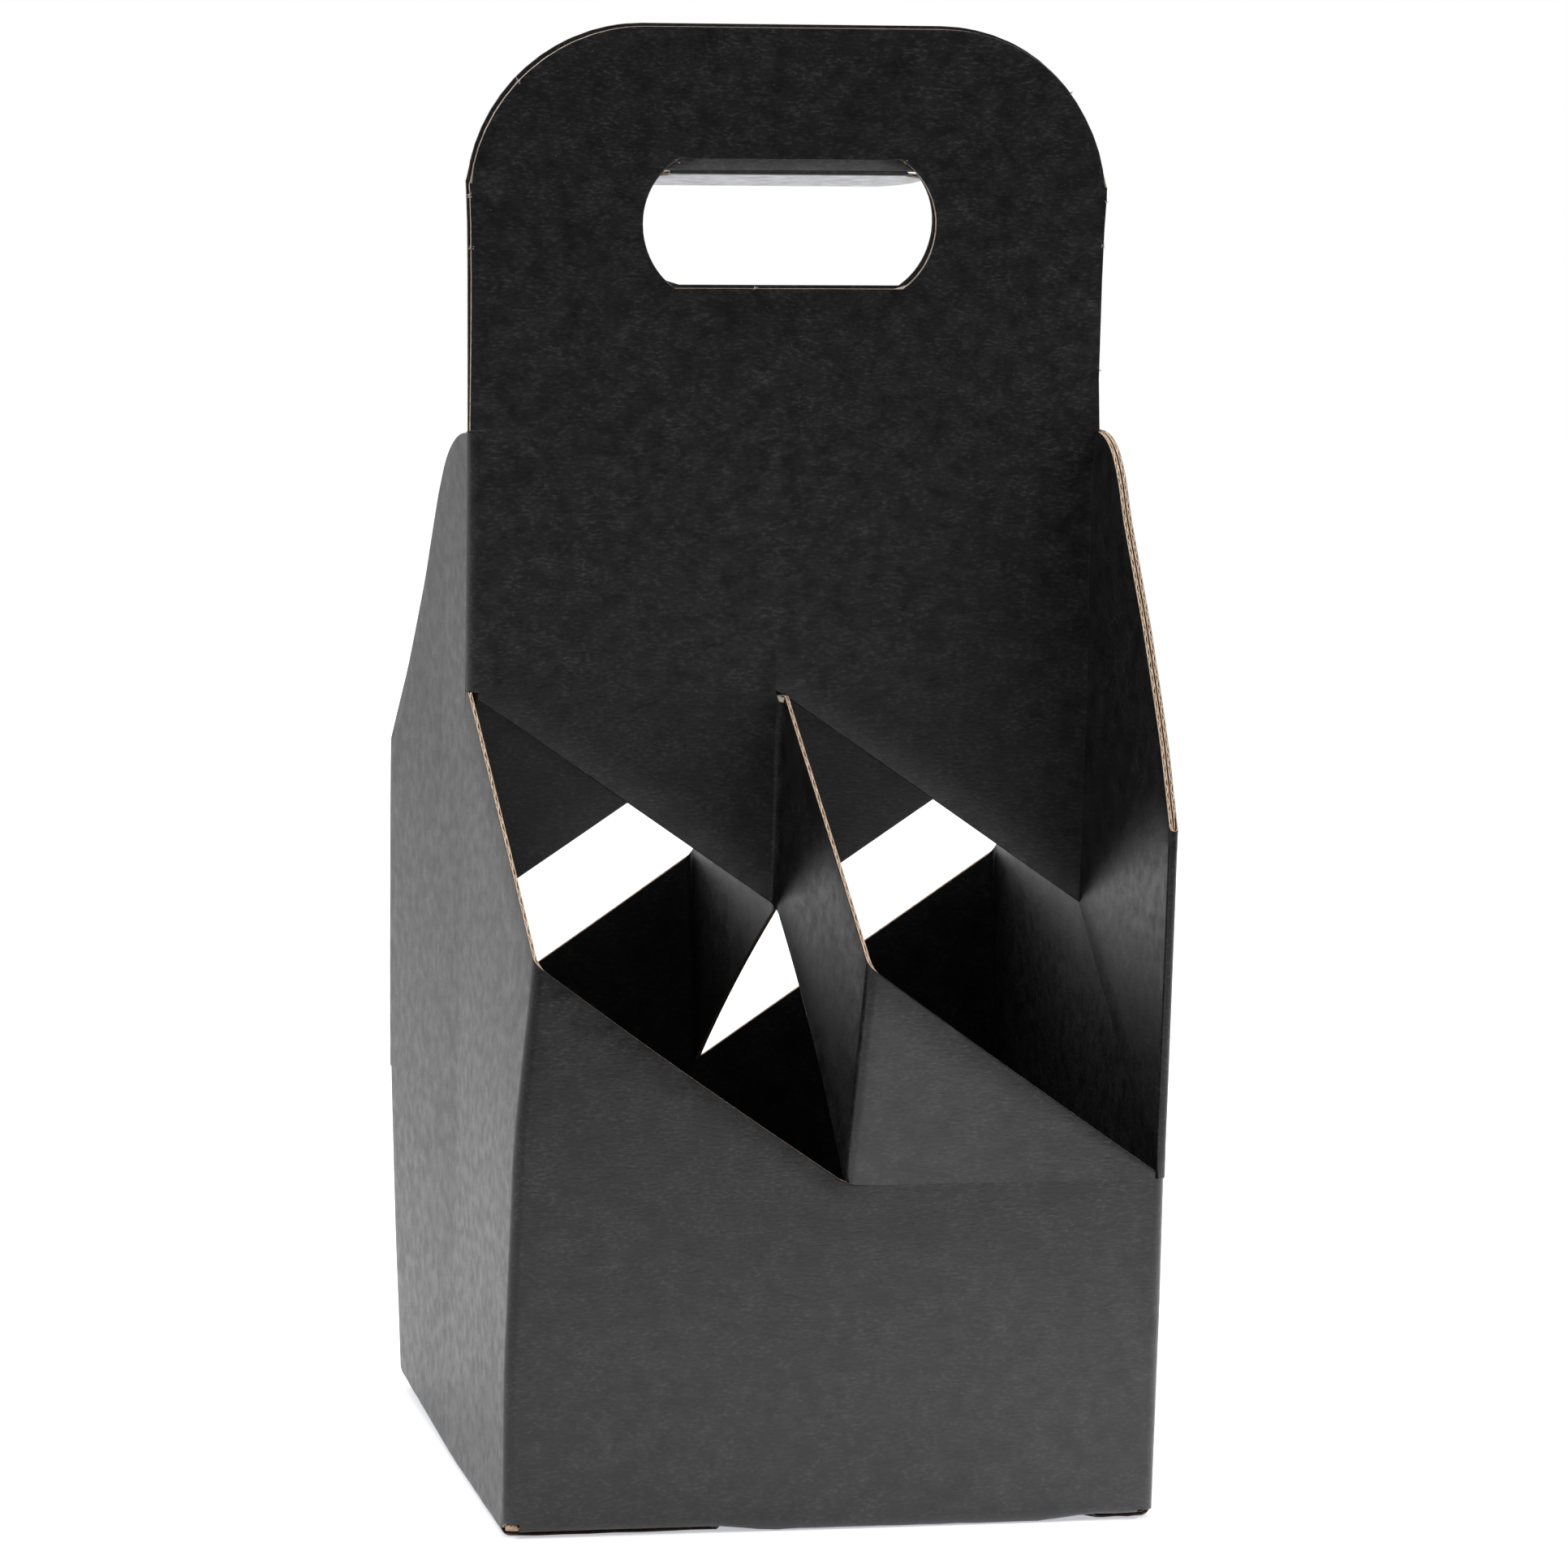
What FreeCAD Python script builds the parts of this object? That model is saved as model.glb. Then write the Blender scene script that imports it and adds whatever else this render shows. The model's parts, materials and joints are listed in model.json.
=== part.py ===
import FreeCAD, Part
import math
import os

from FreeCAD import Vector

# Open-topped carrier with four cells and a handle, folded from one sheet of black micro-flute board.
# Millimetres, Z up, origin on the ground under the middle of the base. The front panel faces -Y.
# The sheet has half-turn symmetry about the Z axis, so each part of it is drawn for the front half
# and repeated by turning it 180 degrees.

# Board
board = 0.9             # thickness of the micro-flute board
glue_line = 0.2         # gap between two glued layers
fold = 1.8              # middle-line radius of the upright folds
base_fold = 1.5         # middle-line radius of the folds at the base
score_width = 0.8       # width of a pressed crease
score_depth = 0.25      # depth of a pressed crease

# Cells and cuts
cell = 65.0             # pitch of the four cells, both ways
front_low = 69.3        # where the long cuts end, at the front's middle and right corner
saw_drop = 44.7         # fall of the sawtooth cuts over one cell
side_rise = 52.6        # from the sawtooth's top to the top of the doubled side wall
side_drop = 72.5        # fall of the doubled side wall's top edge, handle to corner
side_round = 27.0       # radius of that top edge beside the handle

# Handle
neck_rise = 49.4        # straight stretch of the handle above the side walls
arch_rise = 31.4        # from the straight stretch to the top of the handle
arch_radius = 35.0      # rounded upper corners of the handle
shoulder_step = 0.25    # how far the rounded corners are set in

# Hand hole and its two flaps
hole_width = 60.2       # over the bulged ends
hole_bulge = 6.6        # how far each end bulges past the straight upper and lower edges
hole_height = 25.3      # from the lower edge to the upper crease
hole_crown = 26.8       # from the upper crease to the top of the handle
crease_pitch = 2.2      # between the two creases along the top of the hole
flap_cut = 0.3          # width of the cut round a flap
flap_slant = 4.2        # height of the slanting cuts beside a flap's crease
hinge_gap = 0.25        # between a flap's rounded top edge and the sheet
flap_swing = 80.0       # how far both flaps are pushed back from hanging, in degrees

# Base
corner_relief = 3.2     # from a corner to where the base flaps start
major_reach = 12.0      # how far a main flap's edge lies from the middle, to either side
major_slant = 9.0       # half-width of the slanted edge in the middle
flap_meet = 0.8         # gap between the two main flaps' edges
minor_tip = 10.0        # from the middle to the inner edge of a glued flap
minor_corner = 24.0     # length of a glued flap's slanted outer corner
minor_tail = 12.0       # width left at a glued flap's free end

# Worked out from the sizes above
half = cell
wall = half - board / 2                       # middle line of the outer walls
ply = (board + glue_line) / 2                 # middle line of the handle layers
inner = wall - board - glue_line              # middle line of a doubled wall's inner layer
slope = saw_drop / cell
front_peak = front_low + saw_drop
side_notch = front_peak + slope * (wall - ply)
side_top = side_notch + side_rise
side_low = side_top - side_drop
neck_top = side_top + neck_rise
handle_top = neck_top + arch_rise
upper_crease = handle_top - hole_crown
lower_crease = upper_crease - crease_pitch
hole_sill = upper_crease - hole_height
crease_clear = board / 2 + hinge_gap          # from a flap's axis up to the sheet
minor_level = board / 2                       # middle line of the glued base flaps
major_level = minor_level + board + glue_line
base_end = half - corner_relief
far = 2 * handle_top


def lines(points):
    """Straight edges through the points."""
    return [Part.LineSegment(one, two).toShape() for one, two in zip(points, points[1:])]


def face_of(edges):
    return Part.Face(Part.Wire(Part.__sortEdges__(edges)))


def prism(points, direction):
    """Solid swept along direction from a closed outline with straight sides."""
    return face_of(lines(points + points[:1])).extrude(direction)


def box(x_range, y_range, z_range):
    low, high = zip(x_range, y_range, z_range)
    return Part.makeBox(*(h - l for l, h in zip(low, high)), Vector(*low))


def half_turn(shape):
    """The same shape on the opposite side of the Z axis."""
    turned = shape.copy()
    turned.rotate(Vector(0, 0, 0), Vector(0, 0, 1), 180)
    return turned


def left_of(direction):
    return Vector(-direction.y, direction.x, 0)


def offset_stops(points, offset):
    """Ends and arcs of a line that runs beside a strip's middle line."""
    corners = [Vector(x, y, 0) for x, y, _ in points]
    runs = [(two - one).normalize() for one, two in zip(corners, corners[1:])]
    stops = [(corners[0] + left_of(runs[0]) * offset,)]
    for before, after, corner, point in zip(runs, runs[1:], corners[1:], points[1:]):
        turn = 1 if before.cross(after).z > 0 else -1
        centre = corner + (after - before) * point[2]
        reach = point[2] - turn * offset
        start = centre - left_of(before) * (turn * reach)
        middle = centre + (before - after).normalize() * reach
        end = centre - left_of(after) * (turn * reach)
        stops.append((start, middle, end))
    stops.append((corners[-1] + left_of(runs[-1]) * offset,))
    return stops


def side_edges(stops):
    """Lines and arcs along one side of a strip."""
    edges = [Part.Arc(*stop).toShape() for stop in stops if len(stop) == 3]
    for one, two in zip(stops, stops[1:]):
        if one[-1].distanceToPoint(two[0]) > 1e-6:
            edges += lines([one[-1], two[0]])
    return edges


def strip(points):
    """Section of a folded strip of board. Each point is (x, y, radius): a right-angled corner of
    its middle line with the fold's radius there. The first and last points are its ends."""
    one = offset_stops(points, board / 2)
    two = offset_stops(points, -board / 2)
    ends = lines([one[0][0], two[0][0]]) + lines([one[-1][0], two[-1][0]])
    return face_of(side_edges(one) + side_edges(two) + ends)


def upright(points, low, high):
    """Board strip that stands on edge, from its plan and its two heights."""
    solid = strip(points).extrude(Vector(0, 0, high - low))
    solid.translate(Vector(0, 0, low))
    return solid


def cut_height(x, y, corner_x, corner_height):
    """Height at (x, y) of a straight cut of the flat sheet. The cut passes the front panel at
    corner_x and corner_height. Where it crosses a right-angled fold it stays in one plane, which
    falls by the same slope towards +X and towards -Y."""
    return corner_height + slope * (corner_x - x + y + wall)


def above_cut(corner_x, corner_height, limit):
    """What lies above such a cut, inside the solid limit."""
    fall = Vector(1, -1, 0) * far
    drop = Vector(0, 0, 2 * slope * far)
    across = Vector(1, 1, 0) * far
    start = Vector(corner_x, -wall, corner_height) - across
    outline = [start - fall + drop, start + fall - drop, start + fall + drop]
    return prism(outline, across * 2).common(limit)


def front_left_walls():
    """Front half of the left side and left half of the front panel, under one long cut."""
    plan = [(-wall, fold + ply, 0), (-wall, -wall, fold), (0, -wall, 0)]
    walls = upright(plan, minor_level + base_fold, side_notch)
    return walls.cut(above_cut(-wall, front_peak, box((-half, 0), (-half, half), (0, far))))


def front_right_walls():
    """Lower right of the front panel and of its corner with the right side."""
    plan = [(0, -wall, 0), (wall, -wall, fold), (wall, ply - fold, 0)]
    return upright(plan, minor_level + base_fold, front_low)


def divider_and_front_right():
    """Strip between two cuts. It leaves the handle layer forwards as the divider of the front
    cells, and turns again as the right half of the front panel."""
    plan = [(-2 * fold, -ply, 0), (0, -ply, fold), (0, -wall, fold), (wall - fold, -wall, 0)]
    walls = upright(plan, front_low, cut_height(0, -ply, inner, front_low))
    around = box((-half, half), (-half, half), (0, far))
    behind_front = box((-half, half), (board - half, half), (0, far))
    under = behind_front.cut(above_cut(0, front_low, behind_front))
    return walls.cut(above_cut(0, front_peak, around)).cut(under)


def side_shape():
    """Side view of what the front half of a doubled wall keeps. From the handle its top edge runs
    off in a round shoulder and falls straight to the corner."""
    run = half - ply
    fall = side_drop - side_round
    angle = math.pi / 2 + math.atan2(fall, run) - math.acos(side_round / math.hypot(run, fall))
    centre = Vector(-half, -ply, side_top - side_round)

    def on_arc(turned):
        return centre + Vector(0, -math.sin(turned), math.cos(turned)) * side_round

    outline = [on_arc(angle), Vector(-half, -half, side_low), Vector(-half, -half, 0)]
    outline += [Vector(-half, half, 0), Vector(-half, half, side_top), on_arc(0)]
    edges = lines(outline) + [Part.Arc(on_arc(0), on_arc(angle / 2), on_arc(angle)).toShape()]
    return face_of(edges).extrude(Vector(2 * half, 0, 0))


def doubled_right_wall():
    """Right end of the front handle layer, folded forward as the inner layer of the right side and
    turned back on itself at the corner as the outer layer."""
    turn = (board + glue_line) / 2
    plan = [(inner - 2 * fold, -ply, 0), (inner, -ply, fold), (inner, -wall, turn)]
    plan += [(wall, -wall, turn), (wall, ply - fold, 0)]
    walls = upright(plan, front_low, side_top).common(side_shape())
    inside = box((0, wall - turn), (-half, half), (0, far))
    return walls.cut(inside.cut(above_cut(inner, front_low, inside)))


def left_handle_fold():
    """Left end of the front handle layer, folded back as the outer layer of the left side."""
    plan = [(2 * fold - wall, -ply, 0), (-wall, -ply, fold), (-wall, 3 * fold, 0)]
    return upright(plan, side_notch, side_top).common(half_turn(side_shape()))


def handle_layer():
    """Flat front layer of the handle, between its folds and up to the arch."""
    centre = Vector(half - shoulder_step - arch_radius, 0, handle_top - arch_radius)
    rise = neck_top - centre.z
    step = centre + Vector(math.sqrt(arch_radius ** 2 - rise ** 2), 0, rise)
    crown = centre + Vector(0, 0, arch_radius)
    between = centre + (step - centre + crown - centre).normalize() * arch_radius
    right_end = inner - fold
    left_end = fold - wall

    def mirrored(point):
        return Vector(-point.x, 0, point.z)

    def on_edge(x, corner_x):
        return Vector(x, 0, cut_height(x, -ply, corner_x, front_low))

    outline = [step, Vector(half, 0, neck_top), Vector(half, 0, side_top)]
    outline += [Vector(right_end, 0, side_top), on_edge(right_end, inner), on_edge(0, inner)]
    outline += [Vector(-fold, 0, on_edge(0, inner).z), on_edge(-fold, 0), on_edge(left_end, 0)]
    outline += [Vector(left_end, 0, side_top), Vector(-half, 0, side_top)]
    outline += [Vector(-half, 0, neck_top), mirrored(step)]
    edges = lines(outline) + lines([crown, mirrored(crown)])
    edges.append(Part.Arc(step, between, crown).toShape())
    edges.append(Part.Arc(mirrored(step), mirrored(between), mirrored(crown)).toShape())
    layer = face_of(edges).extrude(Vector(0, board, 0))
    layer.translate(Vector(0, -ply - board / 2, 0))
    return layer


def hole_end(height, shrink):
    """Half-width of the hand hole at a height, with its outline smaller by shrink all round."""
    radius = (hole_height ** 2 / 4 + hole_bulge ** 2) / (2 * hole_bulge)
    middle = hole_sill + hole_height / 2
    centre = hole_width / 2 - radius
    return centre + math.sqrt((radius - shrink) ** 2 - (height - middle) ** 2)


def hole_face(top, shrink):
    """Front view of the hand hole with bulged ends, from its lower edge up to the height top. The
    ends lie shrink inside their true place."""
    heights = (top, hole_sill + hole_height / 2, hole_sill)
    right = [Vector(hole_end(height, shrink), 0, height) for height in heights]
    left = [Vector(-point.x, 0, point.z) for point in right]
    edges = [Part.Arc(*right).toShape(), Part.Arc(*left).toShape()]
    return face_of(edges + lines([right[0], left[0]]) + lines([right[2], left[2]]))


def flap_face(crease, passed):
    """Front view of a hanging flap. Its ends run straight down beside the crease, far enough to
    swing clear through what it passes, then slant out to the hole's bulged ends."""
    straight = crease - passed
    slant = straight - flap_slant
    sill = hole_sill + flap_cut
    narrow = hole_end(crease + crease_clear, flap_cut)
    top = [Vector(narrow, 0, crease), Vector(narrow, 0, straight)]
    heights = (slant, (slant + sill) / 2, sill)
    right = [Vector(hole_end(height, flap_cut), 0, height) for height in heights]
    edges = lines(top + right[:1]) + [Part.Arc(*right).toShape()]
    edges += [edge.mirror(Vector(0, 0, 0), Vector(1, 0, 0)) for edge in edges]
    edges += lines([top[0], Vector(-narrow, 0, crease)])
    return face_of(edges + lines([right[2], Vector(-right[2].x, 0, sill)]))


def score(start, end, depth_direction):
    """V-shaped groove of a pressed crease, from start to end on a face of the sheet."""
    along = (end - start).normalize()
    beside = along.cross(depth_direction).normalize() * (score_width / 2)
    over = depth_direction * -score_depth
    tip = start + depth_direction * score_depth
    return prism([start + beside * 2 + over, tip, start - beside * 2 + over], end - start)


def hand_holes():
    """Openings of the hand hole, a layer each. The front layer keeps the strip between the two
    creases, cut free at its ends, so its flap folds lower and nests under the back one."""
    front = hole_face(lower_crease + crease_clear, 0).extrude(Vector(0, -half, 0))
    back = hole_face(upper_crease + crease_clear, 0).extrude(Vector(0, half, 0))
    ends = hole_face(upper_crease, 0).cut(hole_face(upper_crease, flap_cut))
    return back.fuse([front, ends.extrude(Vector(0, -half, 0))])


def hand_crease():
    """Upper crease, pressed into the front layer's face."""
    reach = hole_end(upper_crease, 0)
    face = -ply - board / 2
    start = Vector(-reach, face, upper_crease + crease_clear)
    return score(start, start + Vector(2 * reach, 0, 0), Vector(0, 1, 0))


def flap(crease, y, layers_passed):
    """Hand-hole flap of one layer: hanging it would fill its hole, here it is pushed back."""
    passed = layers_passed * (board + glue_line) + crease_clear
    plate = flap_face(crease, passed).extrude(Vector(0, board, 0))
    plate.translate(Vector(0, y - board / 2, 0))
    reach = hole_end(crease + crease_clear, flap_cut)
    barrel = Part.makeCylinder(board / 2, 2 * reach, Vector(-reach, y, crease), Vector(1, 0, 0))
    whole = plate.fuse(barrel).removeSplitter()
    whole.rotate(Vector(0, y, crease), Vector(1, 0, 0), flap_swing)
    return whole


def base_flap_sheet(level):
    """Base flap before it is trimmed, drawn flat and swept along Z: its section comes down a
    wall, folds, and runs on at its level."""
    section = strip([(-wall, level + 2 * base_fold, 0), (-wall, level, base_fold), (half, level, 0)])
    return section.extrude(Vector(0, 0, 2 * base_end))


def main_base_flap():
    """Base flap of the front panel. Its edge meets the back panel's flap in a slanted step."""
    sheet = base_flap_sheet(major_level)
    sheet.rotate(Vector(0, 0, 0), Vector(1, 1, 1), 120)
    sheet.translate(Vector(-base_end, 0, 0))
    short = -major_reach - flap_meet / 2
    long = major_reach - flap_meet / 2
    outline = [Vector(-half, -half, 0), Vector(half, -half, 0), Vector(half, short, 0)]
    outline += [Vector(major_slant, short, 0), Vector(-major_slant, long, 0), Vector(-half, long, 0)]
    return sheet.common(prism(outline, Vector(0, 0, half)))


def glued_base_flap():
    """Base flap of the left side, below the main flaps. Its front corner is glued to the front
    panel's flap and folds along a slanting crease when the carrier is flattened."""
    sheet = base_flap_sheet(minor_level)
    sheet.rotate(Vector(0, 0, 0), Vector(1, 0, 0), 90)
    sheet.translate(Vector(0, base_end, 0))
    outline = [Vector(-half, -base_end, 0), Vector(-minor_tip - minor_corner / 2, -base_end, 0)]
    outline += [Vector(-minor_tip, minor_corner - base_end, 0), Vector(-minor_tip, -minor_tip, 0)]
    outline += [Vector(minor_tail - half, base_end, 0), Vector(-half, base_end, 0)]
    start = Vector(base_fold - wall, -base_end, 0)
    run = Vector(1, 1, 0) * (wall - base_fold - minor_tip)
    crease = score(start, start + run, Vector(0, 0, 1))
    return sheet.common(prism(outline, Vector(0, 0, half))).cut(crease)


def carrier_sheet():
    """The whole folded sheet as one solid."""
    walls = [front_left_walls(), front_right_walls(), divider_and_front_right()]
    walls += [doubled_right_wall(), left_handle_fold(), handle_layer()]
    front_foot = box((-base_end, base_end), (-half, board - half), (0, major_level + base_fold))
    front = walls[0].fuse(walls[1:]).cut(front_foot)
    front = front.fuse([main_base_flap(), glued_base_flap()])
    sheet = front.fuse(half_turn(front))
    return sheet.cut([hand_holes(), hand_crease()]).removeSplitter()


def save(shape, name):
    if len(shape.Solids) != 1:
        raise ValueError(name + " should be one solid, not " + str(len(shape.Solids)))
    shape.Solids[0].exportStep("parts/" + name + ".step")


os.makedirs("parts", exist_ok=True)
save(carrier_sheet(), "carrier_sheet")
save(flap(lower_crease, -ply, 1), "front_hand_flap")
save(flap(upper_crease, ply, 0), "back_hand_flap")
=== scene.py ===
import json
import math
import random

import bmesh
import bpy
from mathutils import Matrix, Vector, noise


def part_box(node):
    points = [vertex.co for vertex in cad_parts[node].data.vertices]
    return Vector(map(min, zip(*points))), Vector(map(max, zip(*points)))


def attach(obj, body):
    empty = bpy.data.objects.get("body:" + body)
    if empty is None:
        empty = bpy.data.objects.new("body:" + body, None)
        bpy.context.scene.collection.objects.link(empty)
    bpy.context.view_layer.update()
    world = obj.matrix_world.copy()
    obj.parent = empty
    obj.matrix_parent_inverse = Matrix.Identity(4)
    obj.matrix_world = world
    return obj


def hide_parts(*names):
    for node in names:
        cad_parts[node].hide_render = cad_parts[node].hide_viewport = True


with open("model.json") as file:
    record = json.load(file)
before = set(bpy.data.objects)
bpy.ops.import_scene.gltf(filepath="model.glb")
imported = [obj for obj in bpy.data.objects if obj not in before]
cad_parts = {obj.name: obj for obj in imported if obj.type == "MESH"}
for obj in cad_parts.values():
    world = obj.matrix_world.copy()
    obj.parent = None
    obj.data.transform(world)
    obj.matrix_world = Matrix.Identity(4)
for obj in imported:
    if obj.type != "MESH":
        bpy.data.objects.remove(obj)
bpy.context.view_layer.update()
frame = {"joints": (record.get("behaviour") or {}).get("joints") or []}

# Open-topped carrier with four cells and a handle, folded from one sheet of black micro-flute board.
# Lengths are in millimetres, with Z up and the front panel facing -Y, and become metres where a
# mesh is made. The sheet has half-turn symmetry about the Z axis: each part of it is drawn for the
# front half and repeated by turning it 180 degrees. Every part is two paper liners with a wave of
# fluted paper between them, which shows in the cut edges.

MM = 0.001

# Read from the frame
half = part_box("carrier_sheet")[1].x / MM
handle_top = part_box("carrier_sheet")[1].z / MM
hinges = {joint["child"]: Vector(joint["pos_m"]) / MM for joint in frame["joints"]}
lower_crease = hinges["front_flap"].z
upper_crease = hinges["back_flap"].z
ply = hinges["back_flap"].y         # middle line of the handle layers
flap_swing = 80.0                   # how far both flaps are pushed back from hanging, in degrees

# Board
board = 0.9             # thickness of the micro-flute board
liner = 0.2             # thickness of each paper liner
flute_pitch = 2.35      # length of one wave of the fluted paper
flute_paper = 0.17      # thickness of the fluted paper
flute_depth = 1.1       # how far in from a cut edge the waves are made
flute_inset = 0.05      # and how far from the ends of that edge
flute_step = 0.36       # spacing of the points along a wave
flute_sunk = 0.04       # how far the waves' edges lie behind the liners' edges
fold = 1.8              # middle-line radius of the upright folds
base_fold = 1.5         # middle-line radius of the folds at the base
tight_fold = 0.5        # the fold between the handle and a doubled wall, which glue holds tight
outer_crush = 0.1       # how far the die presses the outer liner in at a cut edge
inner_crush = 0.04      # and the inner liner
crush_width = 0.4       # how wide the pressed rim is
rim_width = 0.15        # and its steepest part

# Cuts and heights
front_low = 69.3        # where the long cuts end, at the front's middle and right corner
cut_overrun = 1.5       # how far the sawtooth cut runs on past the front's middle
saw_drop = 44.7         # fall of the sawtooth cuts over one cell
side_rise = 52.6        # from the sawtooth's top to the top of the doubled side wall
side_drop = 72.5        # fall of the doubled side wall's top edge, handle to corner
side_round = 27.0       # radius of that top edge beside the handle
neck_rise = 49.4        # straight stretch of the handle above the side walls
arch_radius = 35.0      # rounded upper corners of the handle
shoulder_step = 0.25    # how far the rounded corners are set in

# Hand hole and its flaps
hole_width = 60.2
hole_bulge = 6.6
hole_height = 25.3
flap_cut = 0.7          # how much smaller the flaps are than the hole all round
flap_slant = 4.2
hinge_gap = 0.25
crease_lean = 13.0      # how far the strip between the two creases is pushed back, in degrees
crease_drop = 0.35      # how far that strip reaches past its lower crease's edge
crease_side_gap = 0.1
crease_set_back = 0.04
hanging_rows = (rim_width, 0.45)            # rows beside an edge of a hanging board

# Base
corner_relief = 3.2
relief_round = 1.1      # height of the round notch in the front panel's left corner relief
relief_ramp = 0.3       # how far along the wall its foot steps down beside the relief
major_reach = 12.0
major_slant = 9.0
flap_meet = 0.8
minor_tip = 10.0
minor_corner = 24.0
minor_tail = 12.0

# Worked out from the sizes above
wall = half - board / 2
inner = wall - 2 * ply
turn = ply
slope = saw_drop / half
front_peak = front_low + saw_drop
side_notch = front_peak + slope * (wall - ply)
side_top = side_notch + side_rise
side_low = side_top - side_drop
neck_top = side_top + neck_rise
hole_sill = upper_crease - hole_height
hole_middle = hole_sill + hole_height / 2
hole_radius = (hole_height ** 2 / 4 + hole_bulge ** 2) / (2 * hole_bulge)
crease_clear = board / 2 + hinge_gap
minor_level = board / 2
major_level = minor_level + 2 * ply
base_end = half - corner_relief

# How the folded board has settled out of its nominal square
lean_linear = 3.366     # shift of the front's side per 100 mm of height, the back's the other way
lean_square = -1.033
front_left_bow = ((0, 0), (33, -1.4), (61, -1.2), (79, -1.0), (99, 0.5), (113, 1.6))
front_right_bow = ((0, 1.1), (10, 0.85), (28, 0.55), (44, 0.3), (61, -0.2), (77, -0.6), (137, -0.75))
back_left_bow = ((0, 0), (16, -0.25), (34, -0.7), (70, -1.3))
handle_bow = ((0, 0), (158, 1.1), (210, 0.65), (259, -0.3))
neck_left = ((205, 0), (216, 0.2), (232, 0.5), (248, 0.65), (258, 0.35), (264, 0))
neck_right = ((205, 0), (216, -0.85), (248, -0.15), (258, 0.55), (275, 0.75), (281, 1.3), (292, 2.5))
side_top_bow = ((138, 0), (155, 0.65), (176, 0.65), (195, 0))
side_bow_start = 20     # distance from the handle at which that bow is full
back_left_lift = ((0, 2.6), (30, 0))        # the back left corner stands off the ground
left_top_drop = ((190, 0), (210, -0.8))     # top of the left side behind the handle
right_top_bow = ((198, 0), (205, 0.4), (210.61, 1.4))       # top of the right side's front half
sag = 1.05              # main flaps rest on the ground beside the glued ones, by the front fold
sag_across = ((-22, 0), (-12, 1), (44, 1), (52, 0))
sag_inward = ((50, 0), (60, 1))
sag_height = ((1.2, 1), (9, 0))
scallop = 0.45          # waves along the folds at the base
scallop_height = 4.0
scallop_length = 5.0
peak_pull = Vector((2.4, -4.0, -0.8))       # the front's middle peak stands off
back_peak_pull = Vector((-1.0, 2.0, -0.3))
back_layer_slip = Vector((-0.45, 0, 0.6))   # the back handle layer is glued a little off
slip_below, slip_above = 12, 25             # reach of that slip's start, from the side walls' tops
front_flap_slip = Vector((-0.2, 0.4, 0.05))     # how far the front flap hangs off its crease
ripple = 0.22           # soft waves of the panels
ripple_free = ((0, 0.2), (50, 1))           # share of them by height, as the base holds them back
ripple_length = 55.0
ripple_elsewhere = Vector((7.3, 1.9, 4.1))
ragged = 0.05           # roughness of the cut edges
ragged_length = 1.7
low_seed, high_seed = 3.1, 8.7              # so that a strip's two edges differ

# Where the die's nicks tore on the handle's edges, as (x, z)
nicks = ((-55.3, 280.3), (-65.0, 257.6), (-65.0, 247.3), (56.6, 278.9), (65.0, 257.1),
         (65.0, 248.2), (65.0, 223.0), (-6.9, 239.4), (-23.1, 265.0), (23.3, 264.8))

tuft_seed = 11
tuft_fibres = 14
tuft_reach = 0.75       # length of a tuft's longest fibres
tuft_spread = 0.3       # how far from the nick they start
fibre_radius = 0.07

# Stage, in metres and watts
floor_radius = 1.3
floor_back = 0.87       # how far behind the carrier the floor's middle lies
floor_to_camera = 0.5
# Glow of the floor that only glossy rays see, on either side: painted reflection.
floor_gloss_left = 0.0      # how white glossy surfaces see the floor on either side
floor_gloss_right = 1.15
floor_gloss_reach = 0.16
lamp_power = 18.0
surround_front = 0.09
surround_back = 0.75


def between(value, stops):
    """Value of a line through the stops, level before the first and after the last."""
    if value <= stops[0][0]:
        return stops[0][1]
    for (one, low), (two, high) in zip(stops, stops[1:]):
        if value <= two:
            return low + (high - low) * (value - one) / (two - one)
    return stops[-1][1]


def near(value, place):
    """1 at the place, falling to 0 one cell away."""
    return max(0.0, 1 - abs(value - place) / half)


def settle(point):
    """Where a point of the nominal carrier lies on the real one, which stands a little racked."""
    x, y, z = point
    rise = z / 100
    shift = Vector((-(lean_linear * rise + lean_square * rise * rise) * y / half, 0, 0))
    shift.x += near(x, -half) * near(y, -half) * between(z, front_left_bow)
    shift.x += near(x, half) * near(y, -half) * between(z, front_right_bow)
    shift.x += near(x, -half) * near(y, half) * between(z, back_left_bow)
    shift.x += near(y, 0) * between(z, handle_bow)
    shift.x += near(y, 0) * max(0.0, -x / half) * between(z, neck_left)
    shift.x += near(y, 0) * max(0.0, x / half) * between(z, neck_right)
    if x * y < 0:
        shift.x += abs(x) / half * min(1.0, abs(y) / side_bow_start) * between(z, side_top_bow)
    shift.z += near(x, -half) * near(y, half) * between(z, back_left_lift)
    below_neck = z < side_top + ragged * 2
    if below_neck and x < -inner and y > 0:
        shift.z += between(z, left_top_drop)
    if below_neck and x > 0 and y < 0:
        shift.x += min(1.0, x / half) * between(z, right_top_bow)
    if z < sag_height[-1][0]:
        turned_x = x if y < 0 else -x
        shift.z -= (sag * between(z, sag_height) * between(turned_x, sag_across)
                    * between(abs(y), sag_inward))
    foot = between(z, ((0, 1), (scallop_height, 0)))
    if foot:
        shift.z += scallop * foot * abs(noise.noise(Vector(point) / scallop_length))
    above = min(1.0, max(0.0, (z - front_low) / saw_drop))
    if x > -board:
        shift += peak_pull * (near(x, 0) * near(y, -half) * above)
    if x < board:
        shift += back_peak_pull * (near(x, 0) * near(y, half) * above)
    if y > 0:
        slipped = ((side_top - slip_below, 0), (side_top + slip_above, 1))
        shift += back_layer_slip * between(z, slipped)
    wave = Vector(point) / ripple_length
    free = between(z, ripple_free)
    shift.x += ripple * free * noise.noise(wave)
    shift.y += ripple * free * noise.noise(wave + ripple_elsewhere)
    return Vector(point) + shift


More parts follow.
